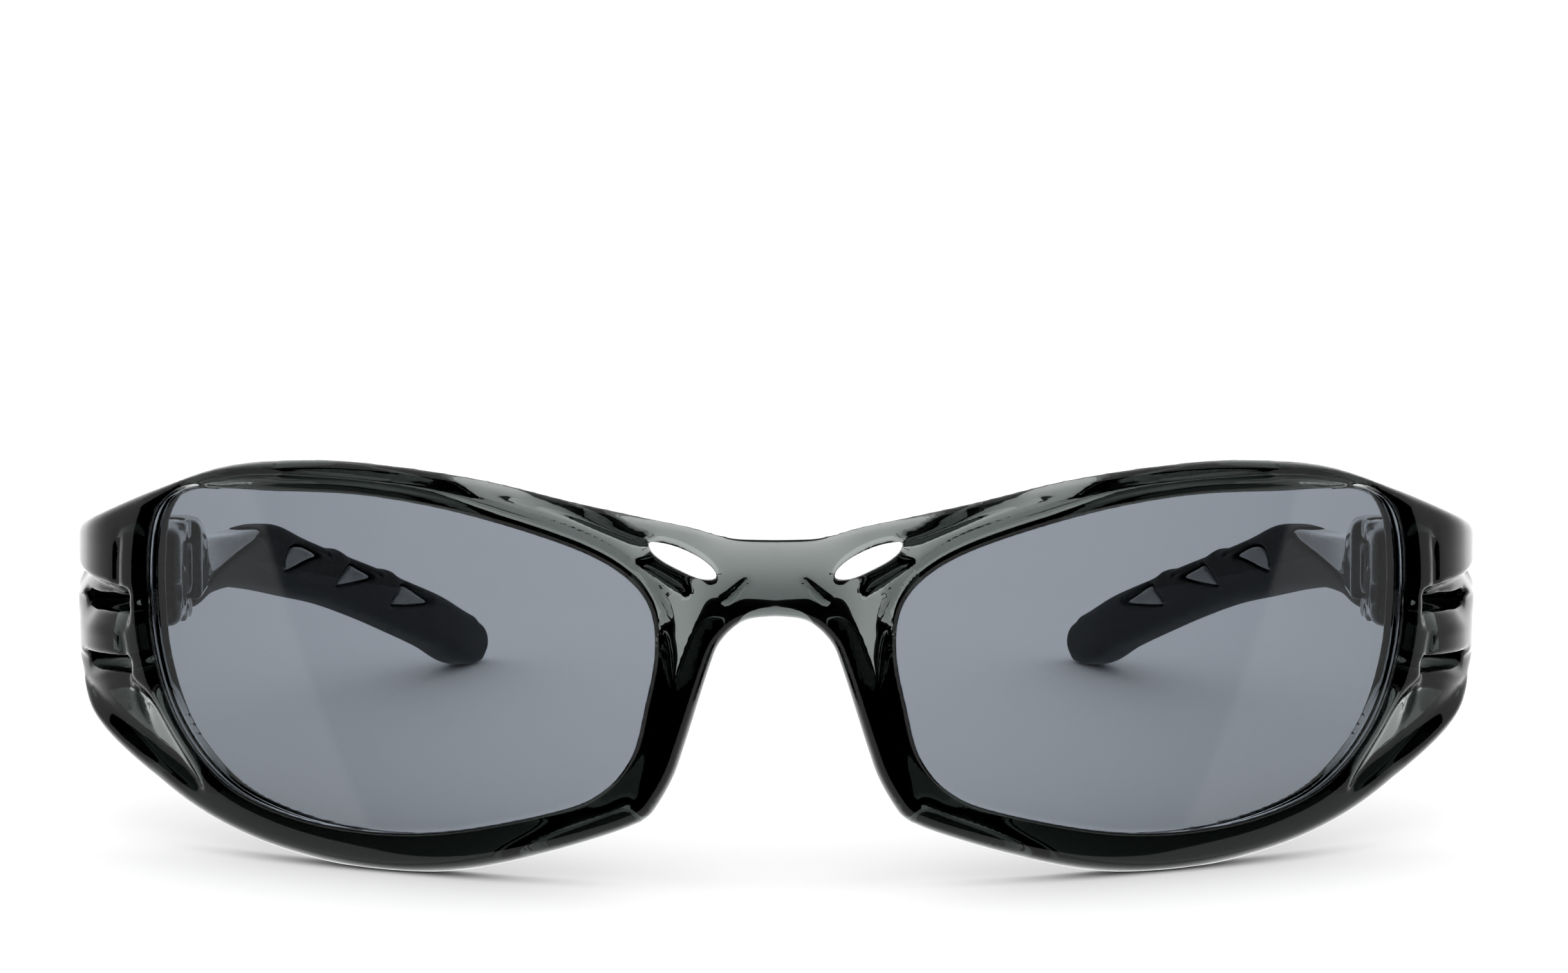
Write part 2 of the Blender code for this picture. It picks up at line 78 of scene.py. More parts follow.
# Flat drawing (s, z) of the left half of the front.
BROW = [(0, 33.7), (4, 33.85), (8.7, 34.6), (18.4, 36.4), (29.7, 38.5), (43.3, 39.3), (57.1, 37.9),
        (67.7, 34.8), (76.5, 31.8), (84, 30.4), (94, 29.7)]
UNDERSIDE = [(94, 19.8), (88, 19.2), (81.2, 15.1), (76.4, 11.6), (68.6, 7.2), (61.4, 3.9), (54.6, 1.8),
             (48.2, 0.6), (42, -0.05), (36, -0.05), (29.5, 0.8), (22.3, 2.7), (16, 4.8), (12.9, 6.1)]
NOSE_EDGE = [(11.7, 7.2), (9.9, 10.3), (8.7, 13.6), (6.3, 21), (5.1, 23.6), (2.9, 25.4), (0, 25.8)]
LENS_OPENING = [(50.7, 35.8), (42, 36.0), (33.7, 35.3), (25.9, 33.8), (18.4, 31.6), (14, 29.2),
                (11.8, 26.2), (11.5, 22), (12.4, 17.4), (13.7, 12.6), (16.5, 9.2), (21.1, 7.1),
                (31.9, 4.6), (41, 4.0), (50, 4.9), (57.8, 7.4), (63.7, 12.3), (66.9, 18.5), (68.0, 26),
                (67.1, 32.0), (63.7, 34.7), (57, 35.6)]
BROW_SLOT = [(12.1, 32.6), (9.9, 32.4), (7.8, 31.6), (6.3, 30.6), (5.6, 29.6), (6.9, 29.5), (8.7, 30.2),
             (10.8, 31.3)]
BROW_POCKET = [(12.9, 30.5), (12.0, 30.6), (10.5, 29.9), (8.9, 28.9), (8.4, 28.0), (9.7, 28.1),
               (11.5, 29.2)]
# Grooves in the brow's outer skin, as (s, z, depth), and ribs on its inner skin, each with its width.
GROOVE_WIDTH = 0.62
BROW_GROOVES = [
    [(64, 35.5, 0), (54.5, 37.0, 0.4), (46, 37.4, 0.6), (38, 37.2, 0.6), (32, 36.6, 0.4), (26, 35.5, 0)],
    [(68, 33.6, 0), (62.2, 35.7, 0.5), (56, 36.8, 0.5), (50, 37.3, 0)],
    [(28, 36.4, 0), (21.7, 35.5, 0.3), (16.5, 33.9, 0.5), (12.6, 32.7, 0.5), (11.0, 32.4, 0)],
]
BROW_RIBS = [
    ([(60, 36.3, 0), (54.5, 37.1, 0.4), (46, 37.4, 0.7), (40, 37.3, 0.8), (34, 36.8, 0.6),
      (28.8, 36.0, 0)], 0.6),
    ([(25, 36.1, 0), (19.6, 34.9, 0.7), (16.5, 33.8, 1.3), (13.8, 32.8, 1.5), (12.0, 32.6, 1.2)], 0.5),
    ([(4.8, 27.2, 0.7), (3.9, 28.0, 0.7), (2.8, 29.0, 0.4)], 0.35),
]
# Wall thickness of the brow along s and of the bridge up z, as (place, thickness).
BROW_WALL = [(0, 1.5), (30, 1.5), (40, 1.6), (52, 2.2), (62, 4.2)]
BRIDGE_WALL = [(25, 2.5), (28, 2.1), (30, 1.6), (33, 1.1)]
RIM_LIP, RECESS_DEPTH, RECESS_BOSS = 0.5, 0.9, 3.0
# How much thinner the front is, from its back, at the strut, the toe, the side web and the side panel.
STRUT_HOLLOW, TOE_HOLLOW, WEB_HOLLOW, PANEL_HOLLOW = 2.9, 1.5, 2.3, 3.1
SADDLE_TOE = [(12.4, 6.7), (14.5, 7.4), (14.1, 9.8), (13.2, 13), (12.6, 17.8), (12.2, 21), (11.5, 24.9)]
SADDLE_TOP = [(9.4, 26.9), (6.4, 27.0), (4, 26.9), (0, 26.8)]
PAD_TRIANGLE = [(6.0, 28.6), (11.4, 28.6), (10.9, 25.6), (10.2, 23.4), (9.7, 19.0), (7.6, 24.0)]
TOE_WEDGE = [(28, 2.3), (21, 4.6), (16, 6.5), (13.2, 7.0), (14.3, 8.4), (17, 7.1), (22, 5.3)]
# The side panel's three slots run along these lines; the first is open only at its outer end.
SLATS = [((75.5, 25.3), (86.0, 26.3)), ((71.0, 23.5), (79.5, 23.2)), ((70.3, 17.7), (78.0, 17.4))]
SLOT_WIDTH = 1.5
SLOTS_CUT = [((83.8, 26.3), (86.0, 26.4)), SLATS[1], SLATS[2]]
SIDE_WEB = [(69.0, 16.0), (77.2, 15.2), (78.4, 14.6), (71.8, 11.2), (66.0, 8.6), (60.0, 6.3), (64.0, 11.5)]

# Temple: y, inner face, thickness, bottom and top at stations from hinge to tip.
TEMPLE = [
    (41.9, 58.3, 10.5, 20.1, 29.4),
    (47.0, 58.2, 10.1, 20.0, 28.4),
    (52.0, 58.0, 8.9, 19.7, 27.0),
    (60.0, 57.5, 6.8, 19.8, 25.8),
    (70.0, 56.0, 5.4, 19.2, 24.8),
    (80.0, 54.0, 4.9, 17.6, 24.1),
    (90.0, 51.4, 4.6, 15.4, 22.0),
    (100.0, 48.5, 4.4, 13.1, 19.2),
    (110.0, 45.3, 4.4, 10.2, 16.3),
    (120.0, 42.0, 4.5, 7.0, 13.2),
    (130.0, 38.6, 4.8, 3.7, 10.0),
    (138.0, 36.3, 4.9, 0.8, 7.1),
    (146.0, 34.4, 4.4, -0.9, 4.6),
]
TEMPLE_TIP = [(142.4, 5.4), (144.9, 4.3), (146.0, 2.6), (145.4, 0.9), (143.4, -0.2)]
# The line where the hard arm's panel ends and the sleeve begins, and the sleeve's three windows.
TONGUE_EDGE = [(40, 20.5), (47.0, 21.0), (57.5, 21.8), (67.0, 22.7), (76.0, 23.6), (77.8, 25.2), (78.0, 40)]
WINDOWS = [
    [(84.2, 18.8), (84.2, 20.6), (86.5, 21.4), (90.0, 20.9), (94.3, 19.2), (91.0, 19.0)],
    [(99.3, 15.1), (99.5, 16.0), (103.0, 17.1), (105.0, 16.6), (109.3, 14.9), (107.0, 14.6)],
    [(114.3, 10.9), (116.0, 12.3), (118.0, 12.8), (121.6, 11.4), (125.4, 9.7), (122.5, 9.7)],
]
# Humps on the sleeve's top edge as (y, length, height), and creases beside its windows.
TOP_BUMPS = [(84.0, 5.5, 0.65), (101.6, 1.6, 0.35), (115.8, 1.6, 0.35)]
TOP_CREASES = [[(90.5, 20.9), (97.5, 18.9)], [(105.4, 16.6), (111.8, 14.7)], [(118.8, 12.6), (126.0, 9.9)]]


# ---------------------------------------------------------------- the bend of the front

def wrap(s, z, t):
    """The flat drawing's (s, z, t) bent round the head. Works on numbers and on arrays."""
    face_run = FACE_RADIUS * FACE_TURN
    corner_run = CORNER_RADIUS * CORNER_TURN
    on_face = np.minimum(s, face_run) / FACE_RADIUS
    on_corner = np.clip(s - face_run, 0, corner_run) / CORNER_RADIUS
    straight = np.maximum(s - face_run - corner_run, 0)
    turn = on_face + on_corner
    x = FACE_RADIUS * np.sin(on_face) + CORNER_RADIUS * (np.sin(turn) - np.sin(on_face))
    y = FACE_RADIUS * (1 - np.cos(on_face)) + CORNER_RADIUS * (np.cos(on_face) - np.cos(turn))
    sag = (z - SAG_HEIGHT) ** 2 / (2 * SAG_RADIUS)
    x = x + straight * np.cos(turn) - t * np.sin(turn)
    y = y + straight * np.sin(turn) + t * np.cos(turn) + sag
    return x, y, z + 0 * x


def to_world(x, y, z):
    """Millimetres from the brow's front in metres from the CAD model's origin."""
    return np.stack([x, y - DEPTH / 2, z], axis=-1) * MM


# ---------------------------------------------------------------- flat curves and distances

def smooth(points, closed=False, per_span=6):
    """Points along a Catmull-Rom curve through the given ones."""
    points = np.array(points, float)
    count = len(points)
    spans = count if closed else count - 1
    result = []
    for i in range(spans):
        near = [(i + k) % count if closed else min(max(i + k, 0), count - 1) for k in (-1, 0, 1, 2)]
        a, b, c, d = points[near]
        for u in np.arange(per_span) / per_span:
            result.append(0.5 * (2 * b + (c - a) * u + (2 * a - 5 * b + 4 * c - d) * u * u
                                 + (3 * b - a - 3 * c + d) * u**3))
    if not closed:
        result.append(points[-1])
    return np.array(result)


def line_distance(points, a, b, closed=False):
    """How far each (a, b) is from a chain of points."""
    ends = list(zip(points, np.roll(points, -1, axis=0)))
    nearest = np.full(np.broadcast(a, b).shape, np.inf)
    for (x0, y0), (x1, y1) in ends if closed else ends[:-1]:
        dx, dy = x1 - x0, y1 - y0
        along = np.clip(((a - x0) * dx + (b - y0) * dy) / (dx * dx + dy * dy + 1e-12), 0, 1)
        nearest = np.minimum(nearest, (a - x0 - along * dx) ** 2 + (b - y0 - along * dy) ** 2)
    return np.sqrt(nearest)


def loop_distance(points, a, b):
    """Signed distance from a closed outline, negative inside."""
    inside = np.zeros(np.broadcast(a, b).shape, bool)
    for (x0, y0), (x1, y1) in zip(points, np.roll(points, -1, axis=0)):
        if y0 != y1:
            crosses = (y0 > b) != (y1 > b)
            inside ^= crosses & (a < (x1 - x0) * (b - y0) / (y1 - y0) + x0)
    return np.where(inside, -1, 1) * line_distance(points, a, b, closed=True)


def front_outline():
    """The front's outline on the flat drawing, run on past the middle, where the halves join."""
    half = list(smooth(BROW)) + list(smooth(UNDERSIDE)) + list(smooth(UNDERSIDE[-1:] + NOSE_EDGE))[1:]
    return np.array([(-9, BROW[0][1])] + half + [(-9, NOSE_EDGE[-1][1])])


def step(low, high, value):
    """0 below low, 1 above high and smooth between."""
    u = np.clip((value - low) / (high - low), 0, 1)
    return u * u * (3 - 2 * u)


def blend_max(a, b, radius):
    """The larger of two fields, with the edge where they meet rounded off."""
    near = np.maximum(radius - np.abs(a - b), 0) / radius
    return np.maximum(a, b) + near * near * radius / 4


def blend_min(a, b, radius):
    return -blend_max(-a, -b, radius)


def box(x, y, z, middle, half, radius):
    """A box with rounded edges."""
    plan = blend_max(np.abs(x - middle[0]) - half[0], np.abs(y - middle[1]) - half[1], radius)
    return blend_max(plan, np.abs(z - middle[2]) - half[2], radius)


# ---------------------------------------------------------------- skinning a field

def skin(field, axes):
    """A surface net round the negative part of a field: vertices and quads, in the grid's own units.

    field is a 3-D array and axes are the three evenly spaced coordinate arrays it was sampled on.
    """
    shape = np.array(field.shape) - 1
    inside = field < 0
    total = np.zeros((shape.prod(), 3))
    hits = np.zeros(shape.prod())
    quads = []
    for axis in range(3):
        low = [slice(None)] * 3
        high = [slice(None)] * 3
        low[axis], high[axis] = slice(0, -1), slice(1, None)
        start, end = field[tuple(low)], field[tuple(high)]
        crossing = np.argwhere(inside[tuple(low)] != inside[tuple(high)])
        first, second = (axis + 1) % 3, (axis + 2) % 3
        room = (crossing[:, first] > 0) & (crossing[:, second] > 0)
        room &= (crossing[:, first] < shape[first]) & (crossing[:, second] < shape[second])
        crossing = crossing[room]
        here = tuple(crossing.T)
        point = crossing.astype(float)
        point[:, axis] += start[here] / (start[here] - end[here])
        corners = []
        for back_first, back_second in ((1, 1), (0, 1), (0, 0), (1, 0)):
            cell = crossing.copy()
            cell[:, first] -= back_first
            cell[:, second] -= back_second
            index = np.ravel_multi_index(tuple(cell.T), shape)
            for k in range(3):
                total[:, k] += np.bincount(index, point[:, k], len(total))
            hits += np.bincount(index, minlength=len(total))
            corners.append(index)
        corners = np.stack(corners, axis=1)
        outward = inside[tuple(low)][here]
        corners[~outward] = corners[~outward, ::-1]
        quads.append(corners)
    quads = np.concatenate(quads)
    used = np.flatnonzero(hits)
    number = np.zeros(len(hits), int)
    number[used] = np.arange(len(used))
    points = total[used] / hits[used, None]
    for _ in range(3):
        points = onto_surface(field, points)
    slope = np.stack([read_field(part, points)[0] for part in np.gradient(field)], axis=-1)
    origin = np.array([axis[0] for axis in axes])
    spacing = np.array([axis[1] - axis[0] for axis in axes])
    return origin + points * spacing, number[quads], slope / spacing


def read_field(field, points):
    """The field's value and slope at points given in grid steps."""
    cell = np.clip(points.astype(int), 0, np.array(field.shape) - 2)
    u = points - cell
    value = 0
    slope = np.zeros_like(points)
    for i in (0, 1):
        for j in (0, 1):
            for k in (0, 1):
                corner = field[cell[:, 0] + i, cell[:, 1] + j, cell[:, 2] + k]
                weights = [u[:, n] if on else 1 - u[:, n] for n, on in enumerate((i, j, k))]
                value = value + corner * weights[0] * weights[1] * weights[2]
                for n, on in enumerate((i, j, k)):
                    others = weights[(n + 1) % 3] * weights[(n + 2) % 3]
                    slope[:, n] += corner * (1 if on else -1) * others
    return value, slope


def onto_surface(field, points):
    """One Newton step along the slope, at most half a cell, towards where the field is zero."""
    value, slope = read_field(field, points)
    move = -value / np.maximum((slope**2).sum(1), 1e-9)
    return points + np.clip(slope * move[:, None], -0.5, 0.5)


def world_normals(place, points, slope):
    """Turns a field's slope into unit normals after place() has bent the points into the world."""
    nudge = 0.01
    bend = np.empty((len(points), 3, 3))
    for k in range(3):
        shift = np.eye(3)[k] * nudge
        bend[:, k, :] = (place(points + shift) - place(points - shift)) / (2 * nudge * MM)
    normals = np.linalg.solve(bend, slope[:, :, None])[:, :, 0]
    return normals / np.maximum(np.linalg.norm(normals, axis=1), 1e-9)[:, None]


def new_piece(name, points, faces, normals, mirror=False):
    """A smooth-shaded mesh object from world points in metres and their normals."""
    if mirror:
        points = points * (-1, 1, 1)
        normals = normals * (-1, 1, 1)
        faces = faces[:, ::-1]
    mesh = bpy.data.meshes.new(name)
    mesh.vertices.add(len(points))
    mesh.vertices.foreach_set("co", points.astype(np.float32).ravel())
    mesh.loops.add(faces.size)
    mesh.loops.foreach_set("vertex_index", faces.astype(np.int32).ravel())
    mesh.polygons.add(len(faces))
    mesh.polygons.foreach_set("loop_start", np.arange(0, faces.size, faces.shape[1], dtype=np.int32))
    mesh.update(calc_edges=True)
    mesh.shade_smooth()
    mesh.normals_split_custom_set_from_vertices(normals.tolist())
    piece = bpy.data.objects.new(name, mesh)
    bpy.context.scene.collection.objects.link(piece)
    return piece


def moulded_piece(name, field, axes, place, mirror):
    """Skins a field and bends it into the world with place()."""
    points, faces, slope = skin(field, axes)
    normals = world_normals(place, points, slope)
    return new_piece(name, place(points), faces, normals, mirror)


def grid(step_mm, *ranges):
    """Evenly spaced coordinates over each (low, high) range."""
    return [np.arange(low, high + step_mm, step_mm) for low, high in ranges]


def spread(axes):
    """The grid's axes shaped to broadcast against each other."""
    return axes[0][:, None, None], axes[1][None, :, None], axes[2][None, None, :]


# ---------------------------------------------------------------- the front

def groove(points, s, z, width):
    """Depth of a groove that follows (s, z, depth) points."""
    route = smooth(points)
    order = np.argsort(route[:, 0])
    depth = np.interp(s, route[order, 0], route[order, 2])
    return depth * np.exp(-((line_distance(route[:, :2], s, z) / width) ** 2))


def inside(loop, s, z, per_span=6):
    """How far each place is inside a smooth closed outline, negative outside it."""
    return -loop_distance(smooth(loop, closed=True, per_span=per_span), s, z)


def side_bulge(s):
    """How far the outer skin stands out past the bend."""
    return SIDE_BULGE * step(66, 77, s)


def slats(s, z):
    """The side panel between its slots: each slat starts low under a slot and rises to its lower edge."""
    depth = np.zeros(s.shape)
    for (s0, z0), (s1, z1) in SLATS:
        below = z0 + (s - s0) * (z1 - z0) / (s1 - s0) - z
        slat = step(-0.7, 0.3, below) * step(3.2, 0.2, below)
        depth = np.maximum(depth, 1.3 * slat * step(69.2, 70.6, s) * step(s1 + 5, s1 - 2, s))
    return depth


def outer_skin(s, z, outline, opening):
    """Depth t of the front's outer skin over the flat drawing."""
    rim = 0.4 * np.clip((1.5 - opening) / 1.5, 0, 1) ** 2
    edge = 0.5 * np.clip((outline + 2.4) / 2.4, 0, 1) ** 2 * step(82, 70, s)
    grooves = sum(groove(points, s, z, GROOVE_WIDTH) for points in BROW_GROOVES)
    dish = 0.3 * step(7.5, 2.0, s) * step(25.6, 28.0, z) * step(33.6, 31.8, z)
    recess = RECESS_DEPTH * step(-0.2, 0.7, inside(BROW_POCKET, s, z))
    seam = np.exp(-(((opening - 3.2) / 0.4) ** 2)) * step(66, 69, s) * step(32, 29, z) * step(9, 13, z)
    panel = np.maximum(0.3 * seam, slats(s, z))
    web = 0.8 * step(-0.6, 1.0, inside(SIDE_WEB, s, z))
    return rim + edge + grooves + dish + recess + panel + web - side_bulge(s)


def upper_wall(s, z, opening):
    """Thickness of the brow and bridge, with ribs, the lens's lip and a boss behind the recess."""
    brow = np.interp(s, *zip(*BROW_WALL))
    bridge = np.interp(z, *zip(*BRIDGE_WALL))
    wall = bridge + (brow - bridge) * step(3.5, 9.0, s)
    wall += RIM_LIP * step(2.2, 1.1, opening)
    wall += RECESS_BOSS * step(-0.5, 0.6, inside(BROW_POCKET, s, z))
    for points, width in BROW_RIBS:
        wall += groove(points, s, z, width)
    return np.minimum(wall, FRAME_DEPTH)


def inner_skin(s, z, outline, opening, front):
    """Depth t of the front's inner skin, which is hollowed wherever the plastic lets light through."""
    clear_of_lens = np.maximum(step(0.3, 1.5, opening), step(24.8, 27.2, z))
    upper = step(23.4, 26.2, z) * step(63, 58, s) * clear_of_lens
    back = FRAME_DEPTH + upper * (upper_wall(s, z, opening) + np.minimum(front, 0.6) - FRAME_DEPTH)
    back -= STRUT_HOLLOW * step(-0.9, 0.3, inside(PAD_TRIANGLE, s, z, per_span=4)) * (1 - upper)
    back -= TOE_HOLLOW * step(-0.5, 0.8, inside(TOE_WEDGE, s, z))
    back -= (WEB_HOLLOW + side_bulge(s)) * step(-0.7, 1.2, inside(SIDE_WEB, s, z))
    panel = step(71.8, 73.8, s) * step(80.5, 78, s) * step(-1.2, -2.6, outline) * step(15.6, 17.4, z)
    return back - PANEL_HOLLOW * panel


def half_front(axes):
    """The grid (s, z, t), and the flat drawing's s and z, the same on both sides of the nose."""
    s, z, t = spread(axes)
    flat_s, flat_z = (level[:, :, 0] for level in np.broadcast_arrays(np.abs(s), z, t)[:2])
    return s, z, t, flat_s, flat_z


def make_frame():
    """The smoke front: two skins inside its outline, the hinge lugs, then every opening cut through."""
    axes = [np.arange(-1.08, 92.6, 0.36), np.arange(-0.6, 40.3, 0.285), np.arange(-1.3, 12.1, 0.315)]
    s, z, t, flat_s, flat_z = half_front(axes)
    outline = loop_distance(front_outline(), flat_s, flat_z)
    opening = loop_distance(smooth(LENS_OPENING, closed=True), flat_s, flat_z)
    front = outer_skin(flat_s, flat_z, outline, opening)
    back = inner_skin(flat_s, flat_z, outline, opening, front)
    x, y, _ = wrap(s, z, t)
    body = blend_max(outline[:, :, None], front[:, :, None] - t, 1.6)
    body = blend_max(body, t - back[:, :, None], 1.4)
    body = blend_max(body, -opening[:, :, None], 0.7)
    body = blend_min(body, hinge_block(x, y, z), 1.2)
    body = blend_max(body, y - FRAME_END, 0.6)
    body = np.minimum(body, hinge_lugs(x, y, z))
    body = blend_max(body, -hinge_holes(x, y, z), 0.3)
    body = blend_max(body, -lens_groove(opening[:, :, None], t), 0.5)
    slot = loop_distance(smooth(BROW_SLOT, closed=True), flat_s, flat_z)
    body = blend_max(body, -slot[:, :, None] + 0 * t, 0.9)
    for ends in SLOTS_CUT:
        cut = line_distance(np.array(ends), flat_s, flat_z) - SLOT_WIDTH / 2
        body = blend_max(body, -cut[:, :, None] + 0 * t, 0.6)
    body = blend_max(body, -z + 0 * t, 0.4)
    return mirrored_front("frame_front", body, axes)


def lens_groove(opening, t):
    """The groove in the rim that the lens's edge sits in."""
    across = np.abs(t - LENS_FRONT - LENS_DEPTH / 2) - LENS_DEPTH / 2 - GROOVE_ROOM
    return blend_max(opening - LENS_LAP - GROOVE_ROOM, across, 0.7)


def front_place(points):
    """Grid points (s, z, t) of a front piece in the world."""
    return to_world(*wrap(points[:, 0], points[:, 1], points[:, 2]))


def mirrored_front(name, field, axes):
    """Skins half a front piece, closes the cut onto the middle plane and adds the mirror image."""
    points, faces, slope = skin(field, axes)
    crossing = points[:, 0] < 0
    faces = faces[~crossing[faces].all(axis=1)]
    normals = world_normals(front_place, points, slope)
    points[crossing, 0] = 0
    normals[crossing, 0] = 0
    world = front_place(points)
    world[crossing, 0] = 0
    count = len(world)
    twin = faces[:, ::-1] + count
    twin = np.where(crossing[twin - count], twin - count, twin)
    used, number = np.unique(np.concatenate([faces, twin]), return_inverse=True)
    faces = number.reshape(-1, 4)[:, ::-1]
    world = np.concatenate([world, world * (-1, 1, 1)])[used]
    normals = np.concatenate([normals, normals * (-1, 1, 1)])[used]
    return new_piece(name, world, faces, normals)


def hinge_block(x, y, z):
    """The thick inner end of the front that carries the lugs."""
    return box(x, y, z, (62.5, 39.0, HINGE_MIDDLE), (4.0, 3.5, HINGE_TOP - HINGE_MIDDLE), 1.6)


def hinge_lugs(x, y, z):
    """The two eyes round the screw and the necks that join them to the block."""
    eye = np.hypot(x - PIN_X, y - PIN_Y) - KNUCKLE_RADIUS
    neck = np.maximum(np.abs(x - 60.6) - 2.1, np.abs(y - 42.3) - 1.8)
    plan = blend_min(eye, neck, 0.4)
    low = HINGE_BOTTOM + LUG_HEIGHT / 2
    high = HINGE_TOP - LUG_HEIGHT / 2
    level = np.minimum(np.abs(z - low), np.abs(z - high)) - LUG_HEIGHT / 2
    return blend_max(plan, level, 0.5)


def hinge_holes(x, y, z):
    """The screw's hole, the seat for its head and the insert's pocket."""
    radius = np.hypot(x - PIN_X, y - PIN_Y)
    hole = radius - SCREW_HOLE_RADIUS + 0 * z
    seat = np.maximum(radius - 1.6, HINGE_TOP - 1.0 - z)
    pocket = np.maximum(radius - 1.4, z - HINGE_BOTTOM - 1.65)
    return np.minimum(hole, np.minimum(seat, pocket))


# ---------------------------------------------------------------- lenses and nose saddle

def lens_rings():
    """The lens as rings of (s, z, t) from the middle of its front, round its edge, to its back."""
    outline = smooth(LENS_OPENING, closed=True, per_span=10)
    along = np.roll(outline, -1, axis=0) - np.roll(outline, 1, axis=0)
    along /= np.linalg.norm(along, axis=1)[:, None]
    outward = np.stack([-along[:, 1], along[:, 0]], axis=1)
    if loop_distance(outline, *(outline + outward)[0]) < 0:
        outward = -outward
    edge = outline + outward * LENS_LAP
    middle = np.array([39.0, 20.5])
    rings = []
    inner = outline + outward * (LENS_LAP - 0.3)
    for share in np.linspace(0.02, 1, 40):
        rings.append((middle + (inner - middle) * share, LENS_FRONT))
    for angle in np.radians(np.linspace(10, 170, 9)):
        ring = edge - outward * 0.3 * (1 - math.sin(angle))
        rings.append((ring, LENS_FRONT + LENS_DEPTH / 2 * (1 - math.cos(angle))))
    for share in np.linspace(1, 0.02, 40):
        rings.append((middle + (inner - middle) * share, LENS_FRONT + LENS_DEPTH))
    return rings


def make_lens(name, mirror):
    """A lens of even thickness, bent like the front and running into the rim's groove all round."""
    rings = lens_rings()
    size = len(rings[0][0])
    points = np.concatenate([np.column_stack([ring, np.full(size, t)]) for ring, t in rings])
    index = np.arange(len(points)).reshape(len(rings), size)
    after = np.roll(index, -1, axis=1)
    faces = np.stack([index[:-1], index[1:], after[1:], after[:-1]], axis=-1).reshape(-1, 4)
    world = to_world(*wrap(*points.T))
    caps = []
    for ring in (index[0], index[-1]):
        caps.append(len(world))
        world = np.concatenate([world, world[ring].mean(0)[None]])
    first = np.stack([np.full(size, caps[0]), index[0], after[0], np.full(size, caps[0])], axis=-1)
    last = np.stack([np.full(size, caps[1]), after[-1], index[-1], np.full(size, caps[1])], axis=-1)
    return lens_mesh(name, world, faces, first, last, mirror)


def lens_mesh(name, world, faces, first, last, mirror):
    """The lens's rings with a fan of triangles in the middle of each side."""
    mesh = bpy.data.meshes.new(name)
    triangles = [tuple(f[:3]) for f in np.concatenate([first, last])]
    polygons = [tuple(f) for f in faces] + triangles
    if mirror:
        world = world * (-1, 1, 1)
        polygons = [p[::-1] for p in polygons]
    mesh.from_pydata(world.tolist(), [], [tuple(int(i) for i in p) for p in polygons])
    mesh.validate()
    mesh.shade_smooth()
    piece = bpy.data.objects.new(name, mesh)
    bpy.context.scene.collection.objects.link(piece)
    return piece


def make_saddle():
    """The rubber saddle behind the bridge and struts, with ribbed pads that swell towards the bottom."""
    axes = grid(0.2, (-0.6, 16.5), (5.0, 28.5), (3.5, 11.0))
    s, z, t, flat_s, flat_z = half_front(axes)
    under = [(-9, NOSE_EDGE[-1][1])] + list(smooth(NOSE_EDGE[::-1][:-1] + SADDLE_TOE[:1]))
    outer = list(smooth(SADDLE_TOE)) + list(smooth([SADDLE_TOE[-1]] + SADDLE_TOP))[1:]
    outline = loop_distance(np.array(under + outer + [(-9, SADDLE_TOP[-1][1])]), flat_s, flat_z)
    triangle = loop_distance(np.array(PAD_TRIANGLE), flat_s, flat_z)
    swell = 2.4 + 2.2 * step(26, 12, flat_z)
    rib = 0.18 * np.cos(flat_z * 3.5) ** 8 * step(22, 19, flat_z) * step(7.5, 9, flat_z)
    back = SADDLE_FRONT + swell - rib
    outline += SADDLE_INSET * step(24.5, 22.0, flat_z)
    body = blend_max(outline[:, :, None], SADDLE_FRONT - t, 1.2)
    body = blend_max(body, t - back[:, :, None], 2.2)
    body = blend_max(body, -triangle[:, :, None] + 0 * t, 0.8)
    return mirrored_front("nose_saddle_pad", body, axes)


# ---------------------------------------------------------------- temples

def temple_station(y):
    """The temple's middle line and half its thickness at each y."""
    table = smooth(TEMPLE, per_span=8)
    inner, thick = (np.interp(y, table[:, 0], table[:, k]) for k in (1, 2))
    return inner + thick / 2, thick / 2


def bar(p, half, side, inset, radius):
    """A rounded bar: half its width each side of the middle line, and its side-view distance."""
    return blend_max(np.abs(p) - half + inset, side[None] + inset, radius)


def side_view(y, z, bumps=()):
    """Signed distance from the temple's outline seen from the side, with a round tip."""
    table = smooth(TEMPLE, per_span=8)
    table = table[table[:, 0] < 142.5]
    top = np.column_stack([table[:, 0], table[:, 4]])
    for place, length, height in bumps:
        top[:, 1] += height * np.exp(-(((top[:, 0] - place) / length) ** 2))
    ahead = np.array([(30.0, 29.8)])
    tip = smooth(TEMPLE_TIP)
    bottom = np.column_stack([table[:, 0], table[:, 3]])[::-1]
    return loop_distance(np.concatenate([ahead, top, tip, bottom, [(30.0, 20.0)]]), y, z)


def temple_place(points):
    """Grid points, with p measured from the temple's middle line, in the world."""
    middle = temple_station(points[:, 1])[0]
    return to_world(points[:, 0] + middle, points[:, 1], points[:, 2])


def tongue(y, z):
    """Distance below the line where the sleeve takes over from the bare arm, negative under it."""
    return loop_distance(np.array(list(smooth(TONGUE_EDGE)) + [(160, 40), (160, -9), (40, -9)]), y, z)


def windows(y, z):
    """Signed distance from the three windows in the sleeve, negative inside them."""
    loops = [loop_distance(smooth(loop, closed=True), y, z) for loop in WINDOWS]
    return np.minimum.reduce(loops)


def temple_grid(axes):
    """The temple's grid (p, y, z), and its y and z seen from the side."""
    p, y, z = spread(axes)
    flat_y, flat_z = (level[0] for level in np.broadcast_arrays(p, y, z)[1:])
    return p, y, z, flat_y, flat_z


